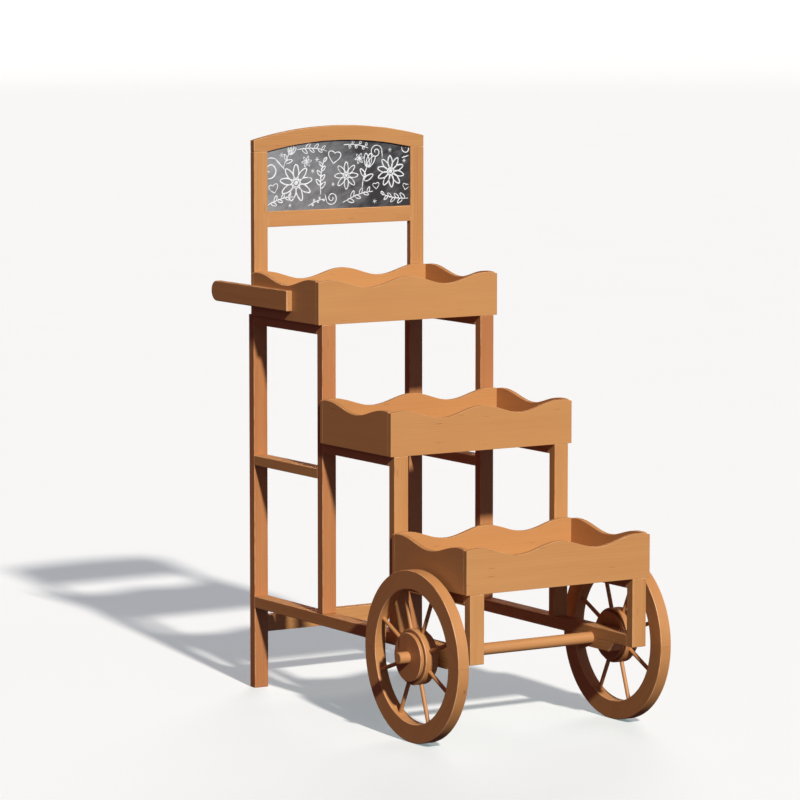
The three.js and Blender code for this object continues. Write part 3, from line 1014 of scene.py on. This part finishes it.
@dataclass
class ChalkDrawing:
    """A loose drawing of daisies, buds, leafy sprigs and curls that runs off the board's edges."""

    shake: float = 0.00022
    relief: float = 0.10
    margin: float = 0.0022
    lift: float = 0.0001
    marks: Sequence[Mark] = tuple(Mark(Motif(kind), *sizes) for kind, *sizes in MARKS)

    def strokes(self, mark: Mark) -> Iterable[list[Point]]:
        """The strokes of one motif about its own origin."""
        size = mark.size / 1000
        if mark.motif is Motif.DAISY:
            for k in range(mark.count):
                lean = TURN * k / mark.count
                near = size * 0.26
                yield leaf(near * math.cos(lean), near * math.sin(lean), lean, size * 0.76, 0.50)
            yield ring(size * 0.21, 14)
            yield ring(size * 0.12, 16, 2.0, 0.9)
        elif mark.motif in (Motif.SPRIG, Motif.BERRIES):
            stem = [(size * t / 24, size * 0.10 * math.sin(2.4 * t / 24)) for t in range(25)]
            yield stem
            for k in range(mark.count):
                u, v = stem[4 + 20 * k // mark.count]
                lean = (0.75 if k % 2 else -0.75) + 0.2
                if mark.motif is Motif.SPRIG:
                    yield leaf(u, v, lean, size * (0.21 - 0.012 * k), 0.50)
                else:
                    end = (u + size * 0.12 * math.cos(lean), v + size * 0.12 * math.sin(lean))
                    yield [(u, v), end]
                    yield [(end[0] + p, end[1] + q) for p, q in ring(size * 0.045, 10)]
        elif mark.motif is Motif.CURL:
            yield ring(size * 0.5, 40, 1.55, 0.86)
            yield [(size * (0.5 - 0.02 * t), -size * 0.07 * t) for t in range(9)]
        elif mark.motif is Motif.BUD:
            yield [(size * t / 12, size * 0.06 * math.sin(3 * t / 12)) for t in range(13)]
            for lean in (-0.42, 0.0, 0.42):
                yield leaf(size * 0.9, 0, lean, size * 0.55, 0.46)
            yield leaf(size * 0.35, 0, -0.8, size * 0.46, 0.45)
            yield leaf(size * 0.50, 0, 0.9, size * 0.38, 0.45)
        elif mark.motif is Motif.STAR:
            for k in range(3):
                c, s = math.cos(math.pi * k / 3), math.sin(math.pi * k / 3)
                yield [(size * q * c, size * q * s) for q in (-1, -0.3, 0.4, 1)]
        else:
            heart = []
            for a in (TURN * t / 28 for t in range(29)):
                high = 0.81 * math.cos(a) - 0.31 * math.cos(2 * a) - 0.12 * math.cos(3 * a)
                heart.append((size * math.sin(a) ** 3, size * high))
            yield heart

    def placed(self, mark: Mark) -> Iterable[list[Point]]:
        """The strokes of one motif where they lie on the board."""
        turn = math.radians(mark.turn)
        c, s = math.cos(turn), math.sin(turn)
        at_u, at_v = mark.u / 1000, mark.v / 1000
        for line in self.strokes(mark):
            yield [(at_u + u * c - v * s, at_v + u * s + v * c) for u, v in line]

    def clipped(self, line: list[Point], fits: Callable[[Point], bool]) -> Iterable[list[Point]]:
        """The runs of a line, of two points or more, at places that fit."""
        run: list[Point] = []
        for point in (*line, None):
            if point and fits(point):
                run.append(point)
                continue
            if len(run) > 1:
                yield run
            run = []

    def build(self) -> None:
        """Makes the drawing on the board's face."""
        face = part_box("chalkboard")[0].y
        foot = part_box("header_bar")[1].z
        arch = Header()
        radius = arch.radius()
        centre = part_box("header_arch")[0].z - foot + arch.rise - radius

        def fits(point: Point) -> bool:
            """Tells whether a place is clear of the board's edges."""
            u, v = point
            inside = abs(u) < arch.width / 2 - self.margin and v > self.margin
            return inside and math.hypot(u, v - centre) < radius - self.margin

        rng = random.Random(12)
        points, edges, widths = [], [], []
        for mark in self.marks:
            for line in (run for whole in self.placed(mark) for run in self.clipped(whole, fits)):
                start, last = len(points), len(line) - 1
                for k, (u, v) in enumerate(line):
                    jolt = [rng.uniform(-self.shake, self.shake) for _ in range(2)]
                    points.append((u + jolt[0], face - self.lift, foot + v + jolt[1]))
                    widths.append(mark.width / 1000 * min(1.0, 0.6 + 0.2 * min(k, last - k)))
                edges += [(start + k, start + k + 1) for k in range(last)]
        mesh = bpy.data.meshes.new("chalk_drawing")
        mesh.from_pydata(points, edges, [])
        mesh.attributes.new("width", "FLOAT", "POINT").data.foreach_set("value", widths)
        piece = linked("chalk_drawing", mesh)
        values = {"Plane": face, "Relief": self.relief, "Seed": 4, "Material": Chalk().material()}
        mount(stroke_tree().apply(piece, values), "cart", "chalkboard")


@dataclass
class Wheelset:
    """Two spoked wagon wheels on one axle."""

    radius: float = 0.200
    rim: float = 0.044
    hub: float = 0.065
    cap: float = 0.057
    bore: float = 0.0143
    # Width of the painted shade on the hub core's face, out from each cap disc.
    grime: float = 0.0055
    spokes: int = 8
    lead: float = 0.06
    spoke_radius: float = 0.005
    sunk: float = 0.012
    seat: float = 0.006
    arris: float = 0.0016
    gap: float = 0.0003
    steps: int = 26

    def build(self) -> None:
        """Makes both wheels and the axle."""
        tree = spoke_tree()
        for order, label in enumerate(SIDES):
            self._rim(label, 300 + 20 * order)
            self._hub(label, 310 + 20 * order, tree)
        self._axle()

    def _centre(self, node: str) -> Vector:
        """The middle of a node's box."""
        low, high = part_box(node)
        return (low + high) / 2

    def _fit(self, piece: Piece, where: Grain, timber: Timber, seed: int, node: str) -> None:
        """Finishes a turned piece in place of a node of the frame."""
        grained(piece, where)
        dress(piece, timber.material(seed, None, Edges.PLATE_X))
        mount(piece, "wheelset", "wheel_timber", node)

    def _rim(self, label: str, seed: int) -> None:
        """Makes the four felloes of one rim, each with its grain along its chord."""
        hub = self._centre(f"hub_cap_outer_{label}")
        low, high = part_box(f"felloe_{label}_1")
        loop = rounded((low.x, self.radius - self.rim), (high.x, self.radius), self.arris)
        trim = self.gap / 2 / self.radius
        for number in range(4):
            node = f"felloe_{label}_{number + 1}"
            turn = Matrix.Rotation(number * QUARTER + trim, 4, "X")
            place = Matrix.Translation((0, hub.y, hub.z)) @ turn
            piece = turned(f"{node}_rim", loop, self.steps, place, QUARTER - 2 * trim)
            chord = number * QUARTER + QUARTER / 2
            c, s = math.cos(chord), math.sin(chord)

            def where(co: Vector, c: float = c, s: float = s, number: int = number) -> Triple:
                """Along the chord, across it and along the axle."""
                y, z = co.y - hub.y, co.z - hub.z
                return (-y * s + z * c + 0.7 * number, y * c + z * s, co.x)

            self._fit(piece, where, WHEEL_TIMBER, seed + number, node)

    def _hub(self, label: str, seed: int, tree: Tree) -> None:
        """Makes one hub, its spokes and its cap discs."""
        inner, outer = (self._centre(f"hub_cap_{side}_{label}") for side in ("inner", "outer"))
        low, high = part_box(f"hub_cap_outer_{label}")
        cap_half = (high.x - low.x) / 2
        core_half = abs(outer.x - inner.x) / 2 - cap_half - self.gap
        centre = Vector((self._centre(f"hub_{label}").x, outer.y, outer.z))
        loop = rounded((-core_half, self.bore), (core_half, self.hub), self.arris)
        half = len(loop) // 2
        # Extra vertices at the cap's edge and just beyond it bound the painted shade on the core's
        # faces; the mask is 1 inside the cap's edge.
        seam, shade_end = self.cap + self.gap, self.cap + self.grime
        loop[half:half] = [(-core_half, shade_end), (-core_half, seam)]
        loop += [(core_half, seam), (core_half, shade_end)]
        core = turned(f"hub_{label}_core", loop, 96, Matrix.Translation(centre))
        paint_seam_shade(core, lambda co: math.hypot(co.y - centre.y, co.z - centre.z) < seam + 0.0001)
        self._fit(core, lambda co: co.zyx, WHEEL_TIMBER, seed, f"hub_{label}")
        for side, at in (("inner", inner), ("outer", outer)):
            loop = rounded((-cap_half, self.bore), (cap_half, self.cap), self.arris)
            node = f"hub_cap_{side}_{label}"
            disc = turned(f"{node}_disc", loop, 96, Matrix.Translation(at))
            self._fit(disc, lambda co: (co.z + 0.4, co.y + 0.1, co.x), CAP_TIMBER, seed + 1, node)
        spokes = linked(f"spokes_{label}", bpy.data.meshes.new(f"spokes_{label}"))
        values = {
            "Count": self.spokes,
            "Lead": self.lead,
            "From": self.hub - self.sunk,
            "To": self.radius - self.rim + self.seat,
            "Radius": self.spoke_radius,
            "Material": DOWEL_TIMBER.material(seed + 3, None, Edges.NONE),
        }
        tree.apply(spokes, values)
        spokes.data.transform(Matrix.Translation(centre))
        mount(spokes, "wheelset", "wheel_timber", f"hub_{label}")

    def _axle(self) -> None:
        """Makes the round axle with chamfered ends."""
        low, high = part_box("axle")
        half, radius, cut = (high.x - low.x) / 2, (high.y - low.y) / 2, self.arris
        right = [(half - cut, radius), (half, radius - cut), (half, 0.0)]
        profile = [(-x, r) for x, r in reversed(right)] + right
        piece = turned("axle_bar", profile, 72, Matrix.Translation((low + high) / 2))
        grained(piece, lambda co: co)
        dress(piece, DOWEL_TIMBER.material(340, None, Edges.NONE))
        mount(piece, "wheelset", "dowel_timber", "axle")


@dataclass
class Fixings:
    """Small screws where the stand is held together, out of sight from the front."""

    head: float = 0.0036
    height: float = 0.0010
    block_inset: float = 0.045
    bar_inset: float = 0.010
    tray_levels: Sequence[float] = (0.025, 0.080)
    side_inset: float = 0.05
    side_level: float = 0.03

    def build(self) -> None:
        """Makes every screw head on the fixed body."""
        spots = [spot for label, sign in SIDES.items() for spot in self._spots(label, sign)]
        mesh = bpy.data.meshes.new("screw_heads")
        mesh.from_pydata([spot for spot, _ in spots], [], [])
        facing = mesh.attributes.new("facing", "FLOAT_VECTOR", "POINT")
        facing.data.foreach_set("vector", [n for _, way in spots for n in way])
        steel = Steel().material()
        values = {"Radius": self.head, "Height": self.height, "Seed": 5, "Material": steel}
        piece = screw_tree().apply(linked("screw_heads", mesh), values)
        mount(piece, "cart", "timber")

    def _spots(self, label: str, sign: int) -> Iterable[Screw]:
        """Each screw's place and the way its head faces, on one side of the stand.

        Args:
            label: The side.
            sign: Which way it lies from the middle.

        Yields:
            Up through the bearing block, from behind into the header's bar and the top tray's
            back, and from inside each tray through its side's foot into the bearer.
        """
        low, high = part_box(f"bearing_block_{label}")
        for y in (low.y + self.block_inset, high.y - self.block_inset):
            yield ((low.x + high.x) / 2, y, low.z), (0, 0, -1)
        low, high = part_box(f"header_upright_{label}")
        foot, top = (corner.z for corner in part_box("header_bar"))
        levels = [foot + self.bar_inset, top - self.bar_inset]
        for z in levels + [low.z + level for level in self.tray_levels]:
            yield ((low.x + high.x) / 2, high.y, z), (0, 1, 0)
        for level in LEVELS:
            low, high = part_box(f"{level}_tray_side_{label}")
            face = high.x if sign < 0 else low.x
            for y in (low.y + self.side_inset, (low.y + high.y) / 2, high.y - self.side_inset):
                yield (face, y, low.z + self.side_level), (-sign, 0, 0)


# ---- studio


@dataclass
class Studio:
    """Pale sweep, soft lights and the camera."""

    lens: float = 192.42
    heading: float = 32.253
    dip: float = 6.504
    eye: Triple = (-5.4799, -8.5493, 1.8963)
    travel: Triple = (0.145, 0.823, -0.549)
    key_strength: float = 4.35
    key_colour: Triple = (1.0, 0.955, 0.885)
    key_width: float = 3.0
    fill_travel: Triple = (-0.62, -0.74, -0.22)
    fill_strength: float = 2.3
    fill_colour: Triple = (1.0, 0.985, 0.96)
    fill_width: float = 30.0
    surround: Triple = (1.0, 0.36, 0.49)
    surround_ahead: Triple = (1.5, 1.9, 2.6)
    surround_strength: float = 0.15
    surround_low: float = 0.35
    paper: tuple[Triple, Triple] = ((0.71, 0.71, 0.71), (0.73, 0.73, 0.73))
    paper_glow: Triple = (0.17, 0.24, 0.25)
    floor_radius: float = 36.0
    bend: float = 8.0
    wall: float = 60.0

    def camera(self) -> None:
        """Sets the camera at the picture's viewing angle."""
        data = bpy.data.cameras.new("view")
        data.lens = self.lens
        data.sensor_width = 36.0
        data.clip_end = 300.0
        camera = bpy.data.objects.new("view", data)
        bpy.context.scene.collection.objects.link(camera)
        camera.location = self.eye
        camera.rotation_euler = (math.radians(90 - self.dip), 0.0, math.radians(-self.heading))
        bpy.context.scene.camera = camera

    def floor(self) -> None:
        """Lays a round pale floor that curves up into a wall far behind, on every side."""
        profile = [(0.02, 0.0), (self.floor_radius, 0.0)]
        for k in range(1, 13):
            out, up = math.sin(k * QUARTER / 12), math.cos(k * QUARTER / 12)
            profile.append((self.floor_radius + self.bend * out, self.bend - self.bend * up))
        profile.append((self.floor_radius + self.bend, self.wall))
        steps = 72
        turns = [TURN * k / steps for k in range(steps)]
        points = [(r * math.cos(a), r * math.sin(a), z) for r, z in profile for a in turns]
        faces = [tuple(range(steps))]
        for low in range(0, len(points) - steps, steps):
            for k in range(steps):
                n = (k + 1) % steps
                faces.append((low + k, low + steps + k, low + steps + n, low + n))
        mesh = bpy.data.meshes.new("paper_floor")
        mesh.from_pydata(points, [], faces)
        shaded(mesh, 40)
        floor = linked("paper_floor", mesh)
        for ray in ("diffuse", "glossy", "transmission", "shadow"):
            setattr(floor, f"visible_{ray}", False)
        paint = Paint("pale_paper")
        colour = paint.mix(paint.noise(paint.coord("Object"), 1.5), *self.paper)
        glow = {"Emission Color": (*self.paper_glow, 1.0), "Emission Strength": 1.0}
        dress(floor, paint.finish({"Base Color": colour, "Roughness": 1.0, **glow}))

    def lights(self) -> None:
        """Hangs a key light in front, a wide fill behind and a dim surround."""
        self._sun("key", self.travel, self.key_strength, self.key_width, self.key_colour)
        fill = self._sun(
            "fill", self.fill_travel, self.fill_strength, self.fill_width, self.fill_colour
        )
        fill.visible_glossy = False
        world = bpy.data.worlds.new("surround")
        world.use_nodes = True
        graph = Graph(world.node_tree)
        _, back, height = graph.pick("ShaderNodeTexCoord", {}, {}, "Generated").parts()
        colour = graph.mix(back.step(-0.9, -0.35), self.surround_ahead, self.surround)
        strength = height.step(-0.4, 0.4) * (1.0 - self.surround_low) + self.surround_low
        glow = {"Color": colour, "Strength": strength * self.surround_strength}
        surface = graph.pick("ShaderNodeBackground", {}, glow)
        graph.node("ShaderNodeOutputWorld", {}, {"Surface": surface})
        bpy.context.scene.world = world

    def _sun(
        self, name: str, travel: Sequence[float], strength: float, soft: float, colour: Triple
    ) -> Piece:
        """A distant light that travels along a direction, soft by an angle in degrees."""
        data = bpy.data.lights.new(name, "SUN")
        data.energy = strength
        data.color = colour
        data.angle = math.radians(soft)
        light = bpy.data.objects.new(name, data)
        bpy.context.scene.collection.objects.link(light)
        light.rotation_euler = Vector(travel).to_track_quat("-Z", "Y").to_euler()
        return light

    def build(self) -> None:
        """Sets up the whole studio."""
        self.camera()
        self.floor()
        self.lights()
        bpy.context.scene.view_settings.view_transform = "Standard"
        LOG.info("studio ready")


def main() -> None:
    """Builds and dresses every sub-assembly in order."""
    logging.basicConfig(level=logging.INFO, format="%(name)s: %(message)s")
    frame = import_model()
    nodes = frame["nodes"]
    Studio().build()
    SideFrames().dress(nodes)
    trays = Trays()
    trays.build()
    trays.dress(nodes)
    Handles().build()
    header = Header()
    header.build()
    header.dress(nodes)
    ChalkDrawing().build()
    Wheelset().build()
    Fixings().build()


if __name__ == "__main__":
    main()
